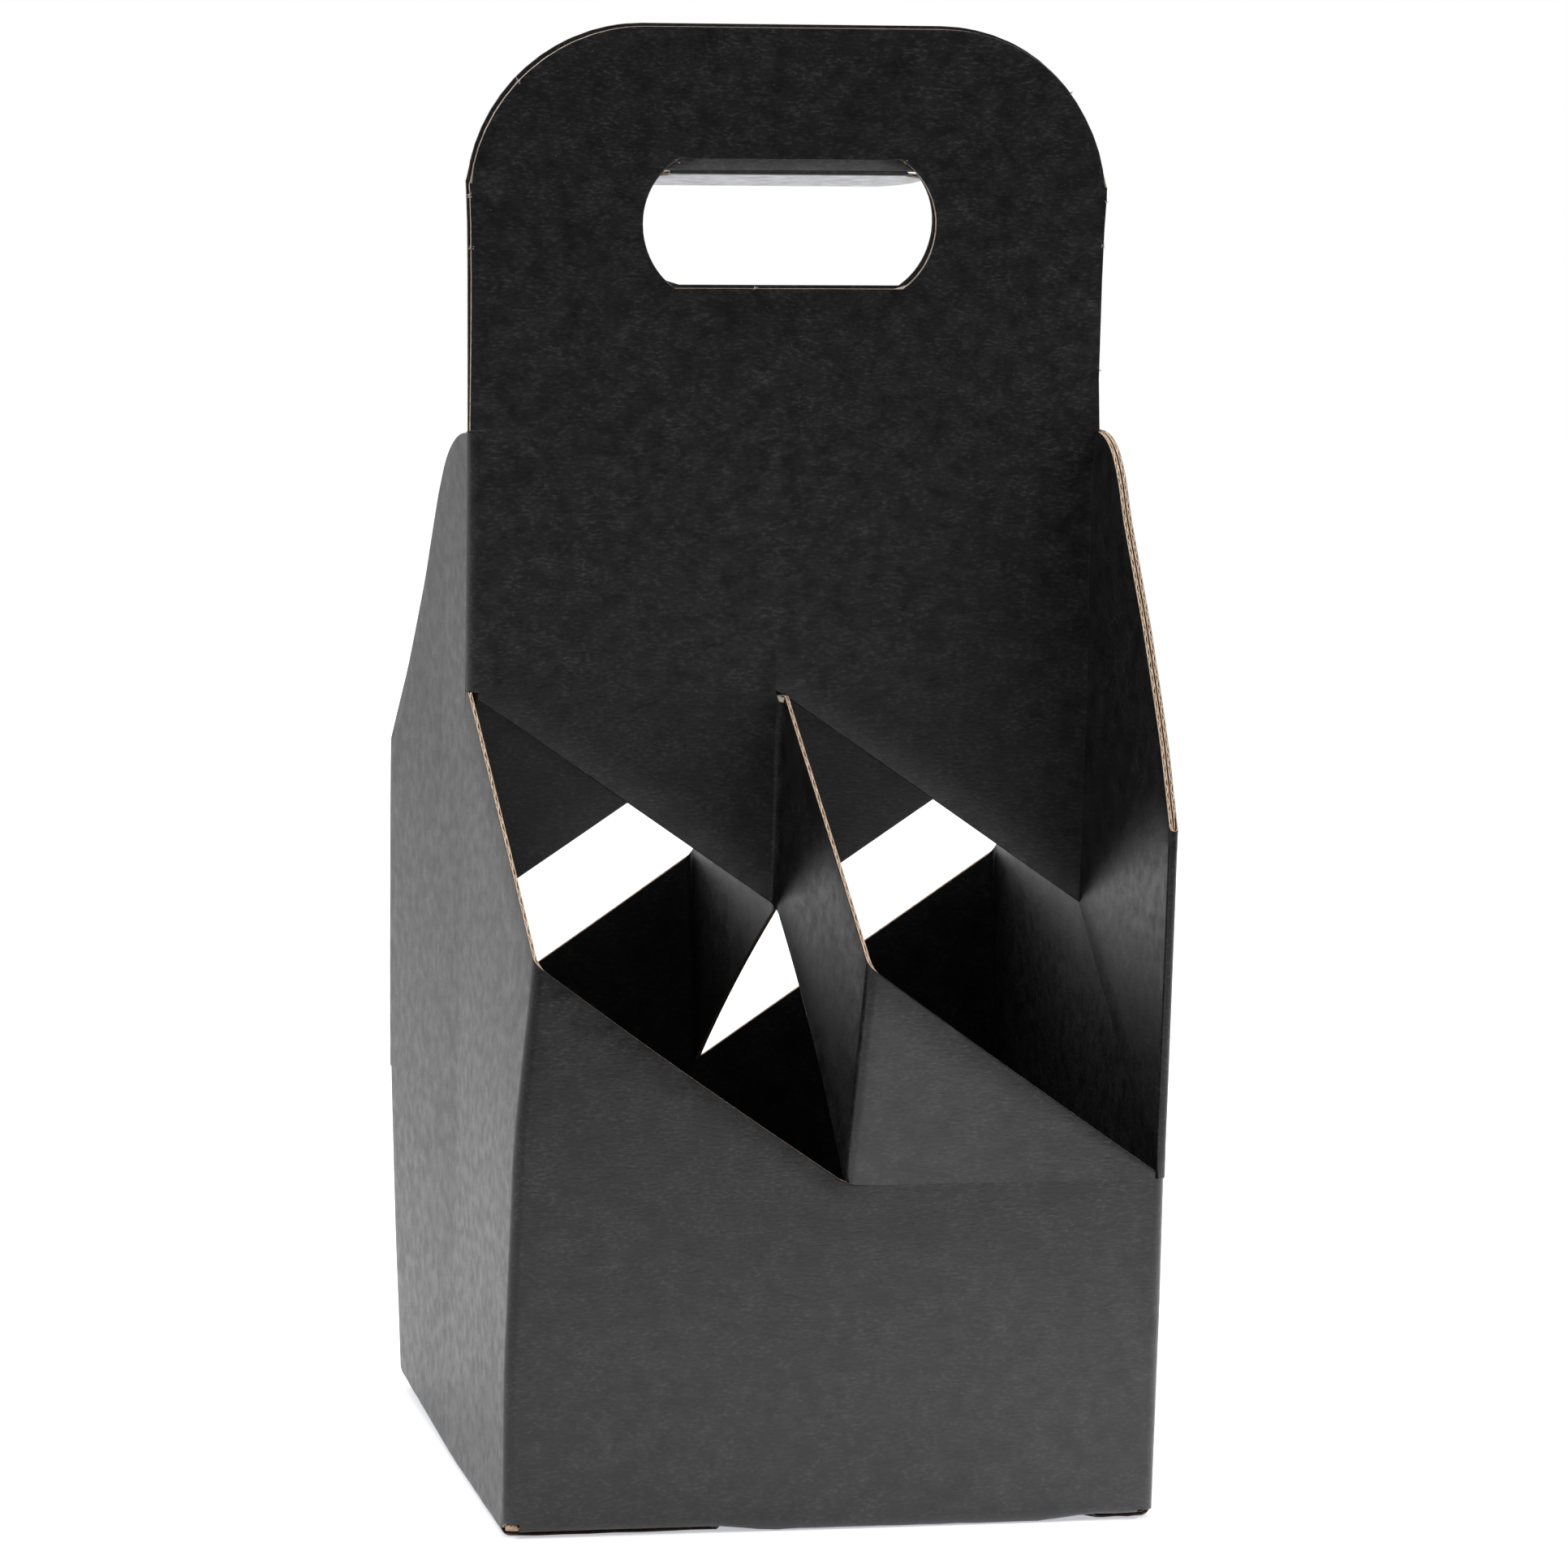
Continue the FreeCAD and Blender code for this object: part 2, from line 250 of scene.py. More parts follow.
class Path:
    """Middle line of a folded strip. Each point is (x, y, radius), with a right-angled corner."""

    def __init__(self, points):
        corners = [Vector((x, y)) for x, y, _ in points]
        runs = [(two - one).normalized() for one, two in zip(corners, corners[1:])]
        self.pieces = []
        start = corners[0]
        length = 0.0
        for i, run in enumerate(runs):
            last = i == len(runs) - 1
            reach = 0 if last else points[i + 1][2]
            end = corners[i + 1] - run * reach
            span = (end - start).dot(run)
            if span > 1e-6:
                self.pieces.append((length, span, start, run, 0))
                length += span
            if not last:
                side = 1 if run.cross(runs[i + 1]) > 0 else -1
                span = reach * math.pi / 2
                self.pieces.append((length, span, end, run, side / reach))
                length += span
                start = corners[i + 1] + runs[i + 1] * reach
        self.length = length

    def at(self, s):
        """Place and left-hand normal at a distance along the line."""
        for first, span, start, run, bend in reversed(self.pieces):
            if s >= first - 1e-9:
                break
        s = min(max(s - first, 0), span)
        left = Vector((-run.y, run.x))
        if not bend:
            return start + run * s, left
        angle = s * bend
        centre = start + left / bend
        turned = Matrix.Rotation(angle, 2)
        return centre - turned @ left / bend, turned @ left

    def stops(self, spacing, extra=()):
        """Distances to place rows of vertices at: close in the folds, and at the extra places."""
        found = {0.0, self.length}
        for first, span, _, _, bend in self.pieces:
            count = 6 if bend else max(1, round(span / spacing))
            found.update(first + span * i / count for i in range(count + 1))
        found.update(s for s in extra if 0 < s < self.length)
        kept = []
        for s in sorted(found):
            if not kept or s - kept[-1] > 0.02:
                kept.append(s)
        kept[-1] = self.length
        return kept


def line_path(start, end):
    """Straight path between two points."""
    return Path([(start[0], start[1], 0), (end[0], end[1], 0)])


def upright(path):
    """Places a point of a strip that stands on edge."""

    def place(s, offset, height):
        point, left = path.at(s)
        point = point + left * offset
        return (point.x, point.y, height)

    return place


def add_slab(mesh, place, stations, low, high, near_side, far_side, rows, material):
    """Closed sheet between two offsets. near_side and far_side give the offset at a station and
    height, and rows gives the heights of a station's vertices. The materials are the far side's,
    the near side's, and a function that gives an edge's by its name and station."""
    skin, core, rim = material
    layers = []
    for side in (near_side, far_side):
        layer = []
        for s in stations:
            heights = rows(low(s), high(s))
            layer.append([mesh.verts.new(place(s, side(s, height), height)) for height in heights])
        layers.append(layer)
    count, levels = len(stations), len(layers[0][0])
    back, front = layers

    def quad(corners, kind):
        face = mesh.faces.new(corners)
        face.material_index = kind
        face.smooth = True

    for i in range(count - 1):
        for j in range(levels - 1):
            around = ((i, j), (i + 1, j), (i + 1, j + 1), (i, j + 1))
            quad([front[a][b] for a, b in around], skin)
            quad([back[a][b] for a, b in reversed(around)], core)
        for j, name in ((0, "low"), (levels - 1, "high")):
            quad([front[i][j], back[i][j], back[i + 1][j], front[i + 1][j]],
                 rim(name, (stations[i] + stations[i + 1]) / 2))
    for i, name in ((0, "start"), (count - 1, "end")):
        for j in range(levels - 1):
            quad([front[i][j], back[i][j], back[i][j + 1], front[i][j + 1]], rim(name, 0))


# Material slots of every piece
# The last slot is dark brown edge paper, painted shade on the back handle layer's cut edges.
PRINT, KRAFT, FLUTE, SHADED_EDGE = 0, 1, 2, 3


def bare_where_cut(cuts, bare):
    """Material of an edge: bare paper where the sheet is cut, print where it runs on."""

    def kind(name, s):
        for cut, begin, finish in cuts:
            if cut == name and begin <= s <= finish:
                return bare
        return PRINT

    return kind


def even_rows(spacing):
    """Rows about this far apart in the strip's tallest place."""

    def rows_for(tallest):
        count = max(1, math.ceil(tallest / spacing))

        def rows(low, high):
            return [low + (high - low) * i / count for i in range(count + 1)]

        return rows

    return rows_for


def edge_rows(spacing):
    """Even rows with two more beside each edge, for its pressed rim."""

    def rows_for(tallest):
        even = even_rows(spacing)(tallest)

        def rows(low, high):
            rim = min(rim_width, (high - low) * 0.06)
            shoulder = min(crush_width, (high - low) * 0.2)
            inside = even(low + shoulder, high - shoulder)
            return [low, low + rim] + inside + [high - rim, high]

        return rows

    return rows_for


def end_rows(low, high):
    """Rows at the two edges only."""
    return [low, high]


def flute(height):
    """Offset of the fluted paper's middle line. Its waves run level round the carrier."""
    reach = board / 2 - liner - flute_paper / 2
    return reach * math.sin(2 * math.pi * height / flute_pitch)


def rough(place, edge, seed, cuts):
    """The edge's height function with the small roughness of a die cut."""

    def height(s):
        within = max([0.0] + [min(1.0, s - begin, finish - s) for begin, finish in cuts])
        spot = Vector(place(s, 0, edge(s))) / ragged_length + Vector((seed, 0, 0))
        return edge(s) + ragged * within * noise.noise(spot)

    return height


def pressed(low, high, length, cuts):
    """How far the liners are pressed in at a station and height by the cuts near it."""

    def depth(s, height, side):
        gaps = [crush_width]
        for name, begin, finish in cuts:
            if name == "start":
                gaps.append(s)
            elif name == "end":
                gaps.append(length - s)
            elif begin - 0.5 <= s <= finish + 0.5:
                gaps.append(height - low(s) if name == "low" else high(s) - height)
        press = outer_crush if side < 0 else inner_crush
        return press * (1 - max(0.0, min(gaps)) / crush_width) ** 2

    return depth


def add_strip(mesh, place, length, stations, low, high, cuts, rows_for=edge_rows(12.0), bare=KRAFT):
    """Stretch of board: two liners, and fluted paper along the cut edges. cuts gives the edges
    that are cut, as (name, from, to) with name low, high, start or end."""
    low = rough(place, low, low_seed, [cut[1:] for cut in cuts if cut[0] == "low"])
    high = rough(place, high, high_seed, [cut[1:] for cut in cuts if cut[0] == "high"])
    rows = rows_for(max(high(s) - low(s) for s in stations))
    depth = pressed(low, high, length, cuts)
    for side in (1, -1):
        add_slab(mesh, place, stations, low, high,
                 lambda s, height: side * (board / 2 - liner - depth(s, height, side)),
                 lambda s, height: side * (board / 2 - depth(s, height, side)), rows,
                 (PRINT, KRAFT, bare_where_cut(cuts, bare)))
    for name, begin, finish in cuts:
        if name == "start":
            begin, finish = 0.0, flute_depth
        if name == "end":
            begin, finish = length - flute_depth, length
        # Fluted paper behind edges in the dark edge paper takes that paper too, as painted shade.
        wave = SHADED_EDGE if bare == SHADED_EDGE else FLUTE
        stretch = (max(begin, flute_inset), min(finish, length - flute_inset))
        add_flutes(mesh, place, low, high, name, stretch, wave)


def flute_stations(edge, begin, finish):
    """Stations along a cut edge, closer where it is steep and crosses the waves."""
    stations = [begin]
    while stations[-1] < finish:
        s = stations[-1]
        steep = abs(edge(s + 0.05) - edge(s)) / 0.05
        stations.append(min(finish, s + min(3.0, flute_step / max(steep, 0.05))))
    if stations[-1] - stations[-2] < 0.02:
        stations.pop(-2)
    return stations


def add_flutes(mesh, place, low, high, name, stretch, kind):
    """Fluted paper behind one cut edge of a strip, a little below the liners' edges."""
    begin, finish = stretch

    def bottom(s):
        edge = low(s) + flute_sunk
        return max(edge, high(s) - flute_depth) if name == "high" else edge

    def top(s):
        edge = high(s) - flute_sunk
        return min(edge, low(s) + flute_depth) if name == "low" else edge

    upright_edge = name in ("start", "end")
    stations = [begin, finish] if upright_edge else flute_stations(top, begin, finish)
    stations = [s for s in stations if top(s) - bottom(s) > 0.05]
    if len(stations) < 2:
        return
    rows = even_rows(flute_step)(max(top(s) - bottom(s) for s in stations))
    add_slab(mesh, place, stations, bottom, top, lambda s, height: flute(height) - flute_paper / 2,
             lambda s, height: flute(height) + flute_paper / 2, rows,
             (kind, kind, lambda name, s: kind))


def cut_height(x, y, corner_x, corner_height):
    """Height at (x, y) of a straight cut of the flat sheet. It passes the front panel at corner_x
    and corner_height, and stays in one plane across right-angled folds."""
    return corner_height + slope * (corner_x - x + y + wall)


def side_profile(y):
    """Height of a doubled side wall's top edge, which falls from the handle to the corner."""
    reach = abs(y) - ply
    run = half - ply
    fall = side_drop - side_round
    angle = math.pi / 2 + math.atan2(fall, run) - math.acos(side_round / math.hypot(run, fall))
    if reach <= 0:
        return side_top
    edge = side_round * math.sin(angle)
    if reach < edge:
        return side_top - side_round + math.sqrt(side_round ** 2 - reach ** 2)
    tangent = side_top - side_round + side_round * math.cos(angle)
    return tangent + (side_low - tangent) * (reach - edge) / (run - edge)


# Spacing of the rows of vertices along the strips
wall_step = 3.2
rounded_step = 2.4
level_step = 5.0
base_step = 4.0


def outer_walls(mesh, turned):
    """Left side's front half, the front panel's foot and the right side's foot."""
    path = Path([(-wall, fold - ply, 0), (-wall, -wall, fold), (wall, -wall, fold),
                 (wall, ply - fold, 0)])
    place = turned(upright(path))
    foot = minor_level + base_fold
    lifted = major_level + base_fold
    middle = path.length / 2
    notch_reach = (wall - base_end) / 2

    def low(s):
        aside = (abs(s - middle) - base_end) / notch_reach - 1
        notch = relief_round * math.sqrt(max(0.0, 1 - aside * aside)) if s < middle else 0
        return between(abs(s - middle), ((base_end, lifted), (base_end + relief_ramp, foot))) + notch

    def high(s):
        point, _ = path.at(s)
        if s > middle:
            return front_low
        return min(side_notch, max(front_low, cut_height(point.x, point.y, -wall, front_peak)))

    notch = fold
    reliefs = [middle + side * (base_end + notch_reach * i / 4) for i in range(9) for side in (1, -1)]
    stations = path.stops(wall_step, [notch, middle] + reliefs)
    corner = base_end + 2 * notch_reach
    relief = base_end + relief_ramp
    add_strip(mesh, place, path.length, stations, low, high,
              [("high", notch, middle + cut_overrun), ("low", middle - corner, middle - relief),
               ("low", middle + relief, middle + corner)])


def divider(mesh, turned):
    """Strip between two cuts: it leaves the handle layer forwards, and turns again as the right
    half of the front panel."""
    path = Path([(-fold, -ply, 0), (0, -ply, fold), (0, -wall, fold), (wall - fold, -wall, 0)])
    place = turned(upright(path))
    level = cut_height(0, -ply, inner, front_low)

    def low(s):
        point, _ = path.at(s)
        return max(front_low, cut_height(point.x, point.y, 0, front_low))

    def high(s):
        point, _ = path.at(s)
        return min(level, cut_height(point.x, point.y, 0, front_peak))

    front = path.length - (wall - 2 * fold)
    add_strip(mesh, place, path.length, path.stops(wall_step), low, high,
              [("high", 0, path.length), ("low", 0, front)])


def doubled_wall(mesh, turned):
    """Right end of the handle layer, folded forward as the inner layer of the right side and
    turned back on itself at the corner as the outer layer."""
    path = Path([(inner - tight_fold, -ply, 0), (inner, -ply, tight_fold), (inner, -wall, turn),
                 (wall, -wall, turn), (wall, ply - fold, 0)])
    place = turned(upright(path))
    outside = path.length - (wall - turn - fold + ply)

    def low(s):
        point, _ = path.at(s)
        if s > outside:
            return front_low
        return max(front_low, cut_height(point.x, point.y, inner, front_low))

    def high(s):
        point, _ = path.at(s)
        return side_profile(point.y)

    seen = 3 * tight_fold
    add_strip(mesh, place, path.length, path.stops(rounded_step, [seen]), low, high,
              [("high", seen, path.length), ("low", 0, outside)])


def handle_fold(mesh, turned):
    """Left end of the handle layer, folded back as the outer layer of the left side."""
    path = Path([(fold - wall, -ply, 0), (-wall, -ply, fold), (-wall, fold - ply, 0)])
    place = turned(upright(path))

    def high(s):
        point, _ = path.at(s)
        return side_profile(max(point.y, 0))

    add_strip(mesh, place, path.length, path.stops(2.0), lambda s: side_notch, high,
              [("high", 0, path.length), ("low", 0, path.length)])


def handle_foot(mesh, turned, start, end, corner_x):
    """Handle layer below the side walls' tops, above one of the two cuts that end it."""
    path = line_path((start, -ply), (end, -ply))
    place = turned(upright(path))

    def low(s):
        return cut_height(start + s, -ply, corner_x, front_low)

    add_strip(mesh, place, path.length, path.stops(level_step), low, lambda s: side_top,
              [("low", 0, path.length)])


def hole_end(height, shrink=0.0):
    """Half-width of the hand hole at a height, with its outline smaller by shrink all round."""
    reach = (hole_radius - shrink) ** 2 - (height - hole_middle) ** 2
    return hole_width / 2 - hole_radius + math.sqrt(reach)


def hole_edge(x, level, direction):
    """Height of the hole's edge at x, above (1) or below (-1) its middle, out to the level."""
    reach = max(0.0, abs(x) - (hole_width / 2 - hole_radius))
    if reach >= hole_radius:
        return hole_middle
    rise = math.sqrt(hole_radius ** 2 - reach ** 2)
    return hole_middle + direction * min(rise, abs(level - hole_middle))


def hole_stations(shift):
    """Places along the handle that follow the hole's bulged ends."""
    found = []
    for i in range(13):
        angle = i * math.radians(5)
        reach = hole_width / 2 - hole_radius + hole_radius * math.cos(angle)
        found += [shift + reach, shift - reach]
    return found


def handle_neck(mesh, turned, bare):
    """Handle layer from the side walls' tops to the middle of the hand hole."""
    path = line_path((-half, -ply), (half, -ply))
    place = turned(upright(path))

    def high(s):
        return hole_edge(s - half, hole_sill, -1)

    reach = hole_width / 2
    left, right = half - wall + fold, half + inner - tight_fold
    stations = path.stops(level_step, hole_stations(half) + [left, right])
    add_strip(mesh, place, path.length, stations, lambda s: side_top,
              high, [("high", half - reach, half + reach), ("start", 0, 0), ("end", 0, 0),
                     ("low", 0, left), ("low", right, 2 * half)], bare=bare)


def arch_edge(x):
    """Height of the handle's outline at x."""
    straight = half - shoulder_step - arch_radius
    reach = abs(x) - straight
    if reach <= 0:
        return handle_top
    if reach >= arch_radius:
        return neck_top
    rise = handle_top - arch_radius + math.sqrt(arch_radius ** 2 - reach ** 2)
    return max(rise, neck_top)


def handle_arch(mesh, turned, bare):
    """Handle layer from the middle of the hand hole up to the arch."""
    path = line_path((-half, -ply), (half, -ply))
    hole_top = upper_crease + crease_clear

    def low(s):
        return hole_edge(s - half, hole_top, 1)

    def high(s):
        return arch_edge(s - half)

    straight = half - shoulder_step - arch_radius
    corners = [half + side * (straight + arch_radius * math.cos(math.radians(5.9 + 6 * i)))
               for i in range(14) for side in (-1, 1)]
    steps = [shoulder_step, 2 * half - shoulder_step]
    stations = path.stops(level_step, hole_stations(half) + corners + steps)
    reach = hole_width / 2
    add_strip(mesh, turned(upright(path)), path.length, stations, low, high,
              [("high", 0, path.length), ("low", half - reach, half - hole_end(hole_top)),
               ("low", half + hole_end(hole_top), half + reach), ("start", 0, 0), ("end", 0, 0)],
              bare=bare)


def base_rows(bend):
    """Rows of a base flap: close over its fold, then evenly spaced."""

    def rows(bottom, top):
        close = [bottom + bend * i / 6 for i in range(7)]
        return close + [bend + (top - bend) * i / 8 for i in range(1, 9)]

    return lambda tallest: rows


def base_flap(mesh, turned, level, start, end, reach, place_on):
    """Base flap. It comes down a wall, folds, and runs inwards at its level as far as reach."""
    section = Path([(0, level + base_fold, 0), (0, level, base_fold), (2 * half, level, 0)])
    bend = base_fold * math.pi / 2
    path = line_path((start, 0), (end, 0))

    def place(s, offset, distance):
        point, left = section.at(distance)
        point = point + left * offset
        return place_on(start + s, point.x, point.y)

    def high(s):
        return bend + reach(start + s) - base_fold

    stations = path.stops(base_step, [-major_slant - start, major_slant - start])
    add_strip(mesh, turned(place), path.length, stations, lambda s: 0.0, high,
              [("high", 0, path.length)], base_rows(bend))


def main_base_flap(mesh, turned):
    """Base flap of the front panel. Its edge meets the back panel's flap in a slanted step."""
    short = wall - major_reach - flap_meet / 2
    long = wall + major_reach - flap_meet / 2

    def reach(x):
        return between(x, ((-major_slant, long), (major_slant, short)))

    def on_front(x, inward, height):
        return (x, inward - wall, height)

    base_flap(mesh, turned, major_level, -base_end, base_end, reach, on_front)


def glued_base_flap(mesh, turned):
    """Base flap of the left side, under the main flaps and glued to the front one."""
    corner = ((-base_end, wall - minor_tip - minor_corner / 2),
              (minor_corner - base_end, wall - minor_tip), (-minor_tip, wall - minor_tip),
              (base_end, minor_tail - board / 2))

    def reach(y):
        return between(y, corner)

    def on_left(y, inward, height):
        return (inward - wall, y, height)

    base_flap(mesh, turned, minor_level, -base_end, base_end, reach, on_left)


def as_drawn(place):
    """Front half of the sheet, settled."""
    return lambda s, offset, height: settle(place(s, offset, height)) * MM


def half_turn(place):
    """The same strip on the opposite side of the Z axis, settled."""

    def turned(s, offset, height):
        x, y, z = place(s, offset, height)
        return settle((-x, -y, z)) * MM

    return turned


def finish_piece(mesh, name, body, node):
    """Makes the object of a piece of board and hangs it on its body in the node's stead."""
    bmesh.ops.recalc_face_normals(mesh, faces=mesh.faces)
    data = bpy.data.meshes.new(name)
    mesh.to_mesh(data)
    mesh.free()
    data.materials.append(printed_liner)
    data.materials.append(kraft_paper)
    data.materials.append(flute_medium)
    data.materials.append(painted_shade_edge)
    data.set_sharp_from_angle(angle=math.radians(32))
    piece = bpy.data.objects.new(name, data)
    bpy.context.scene.collection.objects.link(piece)
    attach(piece, body)
    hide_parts(node)
    return piece


def make_carrier():
    """The whole folded sheet."""
    mesh = bmesh.new()
    # The turned half's handle layer is the back layer: its cut edges and their waves get the dark
    # edge paper, painted shade.
    for turned, bare in ((as_drawn, FLUTE), (half_turn, SHADED_EDGE)):
        outer_walls(mesh, turned)
        divider(mesh, turned)
        doubled_wall(mesh, turned)
        handle_fold(mesh, turned)
        handle_foot(mesh, turned, fold - wall, -fold, 0)
        handle_foot(mesh, turned, -fold, inner - tight_fold, inner)
        handle_neck(mesh, turned, bare)
        handle_arch(mesh, turned, bare)
        main_base_flap(mesh, turned)
        glued_base_flap(mesh, turned)
    crease_strip(mesh)
    add_relief(mesh)
    for x, z in nicks:
        add_tuft(mesh, Vector((x, -ply, z)))
    return finish_piece(mesh, "carrier_board", "carrier", "carrier_sheet")


def hanging_board(mesh, place, stations, half_width):
    """Board drawn as a strip that runs up and down, so each height is one station, and cut to
    half_width to either side. Its waves run level across it."""
    rows = edge_rows(6.0)(2 * max(half_width(s) for s in stations))
    length = stations[-1]
    cuts = [("low", 0, length), ("high", 0, length), ("start", 0, 0)]
    depth = pressed(lambda s: -half_width(s), half_width, length, cuts)
    for side in (1, -1):
        add_slab(mesh, place, stations, lambda s: -half_width(s), half_width,
                 lambda s, across: side * (board / 2 - liner - depth(s, across, side)),
                 lambda s, across: side * (board / 2 - depth(s, across, side)), rows,
                 (PRINT, KRAFT, bare_where_cut(cuts, KRAFT)))
    count = math.ceil((length - 2 * flute_inset) / flute_step)
    waves = [flute_inset + (length - 2 * flute_inset) * i / count for i in range(count + 1)]
    add_slab(mesh, place, waves, lambda s: flute_inset - half_width(s),
             lambda s: half_width(s) - flute_inset,
             lambda s, across: flute(s) - flute_paper / 2,
             lambda s, across: flute(s) + flute_paper / 2, end_rows,
             (FLUTE, FLUTE, lambda name, s: FLUTE))


def crease_strip(mesh):
    """Strip of the front handle layer between its two creases, pushed back a little."""
    bottom = lower_crease + crease_clear - crease_drop
    length = upper_crease + crease_clear - bottom
    lean = Matrix.Rotation(math.radians(crease_lean), 3, "X")
    axis = Vector((0, outer_crush - ply - board / 2, bottom + length))

    def half_width(s):
        return hole_end(bottom + s, crease_side_gap)

    def place(s, offset, across):
        upright_spot = Vector((across, -ply + offset, bottom + s))
        return settle(lean @ (upright_spot - axis) + axis + Vector((0, crease_set_back, 0))) * MM

    rim, shoulder = hanging_rows
    stations = [0, rim, shoulder, length - shoulder, length - rim, length]
    hanging_board(mesh, place, stations, half_width)


def flap_edge(crease, passed):
    """Half-width of a hanging flap as (height, half-width) stops from its crease down."""
    straight = crease - passed
    slant = straight - flap_slant
    sill = hole_sill + flap_cut
    narrow = hole_end(crease + crease_clear, flap_cut)
    stops = [(sill + (slant - sill) * i / 8, hole_end(sill + (slant - sill) * i / 8, flap_cut))
             for i in range(9)]
    return stops + [(straight, narrow), (crease, narrow)]


def make_flap(name, body, node, y, crease, layers_passed, slip):
    """Hand-hole flap of one layer, pushed back about its crease."""
    stops = flap_edge(crease, layers_passed * 2 * ply + crease_clear)
    sill = hole_sill + flap_cut
    mesh = bmesh.new()
    swing = Matrix.Rotation(math.radians(flap_swing), 3, "X")
    axis = Vector((0, y, crease))

    def half_width(s):
        return between(sill + s, stops)

    def place(s, offset, across):
        hanging = Vector((across, y + offset, sill + s))
        return (swing @ (hanging - axis) + axis + slip) * MM

    stations = sorted([height - sill for height, _ in stops] + list(hanging_rows))
    hanging_board(mesh, place, stations, half_width)
    add_barrel(mesh, y, crease, hole_end(crease + crease_clear, flap_cut), slip)
    return finish_piece(mesh, name, body, node)


def add_relief(mesh):
    """Bare crumpled board that shows in the round relief at the front panel's left corner."""
    outside = Vector((-(wall + base_end) / 2, -half, minor_level + base_fold))
    centre = outside + Vector((-0.1, 0.6, 0.1))
    long, deep, floor, bumps = 1.35, 0.4, -0.25, 0.16
    made = bmesh.ops.create_uvsphere(mesh, u_segments=20, v_segments=12, radius=1)
    faces = set()
    for vert in made["verts"]:
        x, y, z = vert.co
        bumpy = 1 + bumps * noise.noise(vert.co * 2.3)
        spot = centre + Vector((x * long, y * deep, max(z, floor))) * bumpy
        vert.co = settle(spot) * MM
        faces.update(vert.link_faces)
    for face in faces:
        face.material_index = KRAFT
        face.smooth = True


def add_tuft(mesh, spot):
    """Torn fibres at a spot of a cut edge, where a nick held the waste."""
    rng = random.Random(tuft_seed + spot.x * 7 + spot.z)
    for _ in range(tuft_fibres):
        root = spot + Vector((rng.uniform(-tuft_spread, tuft_spread),
                              rng.uniform(-board / 2, board / 2),
                              rng.uniform(-tuft_spread, tuft_spread)))
        aim = Vector((rng.uniform(-1, 1), rng.uniform(-1.0, 0.2), rng.uniform(-1, 1))).normalized()
        curl = Vector((rng.uniform(-1, 1), rng.uniform(-1, 1), rng.uniform(-1, 1))) * 0.35
        add_fibre(mesh, root, aim * tuft_reach * rng.uniform(0.4, 1.0), curl * tuft_reach,
                  fibre_radius)


def add_fibre(mesh, root, aim, curl, radius):
    """One thin curved fibre with a pointed end."""
    side = aim.orthogonal().normalized() * radius
    up = aim.cross(side).normalized() * radius
    rings = []
    for i in range(4):
        t = i / 4
        middle = root + aim * t + curl * (t * t)
        rings.append([mesh.verts.new(settle(middle + (side * math.cos(a) + up * math.sin(a))
                                            * (1 - 0.6 * t)) * MM)
                      for a in (0, 2.1, 4.2)])
    tip = mesh.verts.new(settle(root + aim + curl) * MM)
    faces = [mesh.faces.new(rings[0])]
    for one, two in zip(rings, rings[1:]):
        for k in range(3):
            faces.append(mesh.faces.new([one[k], one[k - 1], two[k - 1], two[k]]))
    for k in range(3):
        faces.append(mesh.faces.new([rings[-1][k], rings[-1][k - 1], tip]))
    for face in faces:
        face.material_index = FLUTE
        face.smooth = True


def add_barrel(mesh, y, crease, reach, slip):
    """Rounded board at a flap's crease."""
    turn_to_x = Matrix.Rotation(math.pi / 2, 4, "Y")
    spot = Matrix.Translation((Vector((0, y, crease)) + slip) * MM)
    made = bmesh.ops.create_cone(mesh, cap_ends=True, segments=20, radius1=board / 2 * MM,
                                 radius2=board / 2 * MM, depth=2 * reach * MM,
                                 matrix=spot @ turn_to_x)
    for vert in made["verts"]:
        for face in vert.link_faces:
            face.smooth = True
            face.material_index = PRINT


def new_material(name):
    """Material with its node tree and its shader."""
    material = bpy.data.materials.new(name)
    material.use_nodes = True
    tree = material.node_tree
    shader = tree.nodes["Principled BSDF"]
    return material, tree, shader


def mapped_noise(tree, scale, stretch, detail=4.0):
    """Noise over the object's own coordinates, stretched by the given factors."""
    place = tree.nodes.new("ShaderNodeTexCoord")
    mapping = tree.nodes.new("ShaderNodeMapping")
    mapping.inputs["Scale"].default_value = stretch
    texture = tree.nodes.new("ShaderNodeTexNoise")
    texture.inputs["Scale"].default_value = scale
    texture.inputs["Detail"].default_value = detail
    tree.links.new(place.outputs["Object"], mapping.inputs["Vector"])
    tree.links.new(mapping.outputs["Vector"], texture.inputs["Vector"])
    return texture.outputs["Fac"]


def ramp(tree, value, stops):
    """Colour ramp over a value, with (position, colour) stops."""
    node = tree.nodes.new("ShaderNodeValToRGB")
    elements = node.color_ramp.elements
    while len(elements) < len(stops):
        elements.new(0.5)
    for element, (position, colour) in zip(elements, stops):
        element.position = position
        element.color = (*colour, 1)
    tree.links.new(value, node.inputs["Fac"])
    return node.outputs["Color"]


def blend_colours(tree, kind, one, two):
    """Two colours blended in full."""
    node = tree.nodes.new("ShaderNodeMix")
    node.data_type = "RGBA"
    node.blend_type = kind
    node.inputs["Factor"].default_value = 1.0
    tree.links.new(one, node.inputs["A"])
    tree.links.new(two, node.inputs["B"])
    return node.outputs["Result"]


def grey(level):
    return (level, level, level)


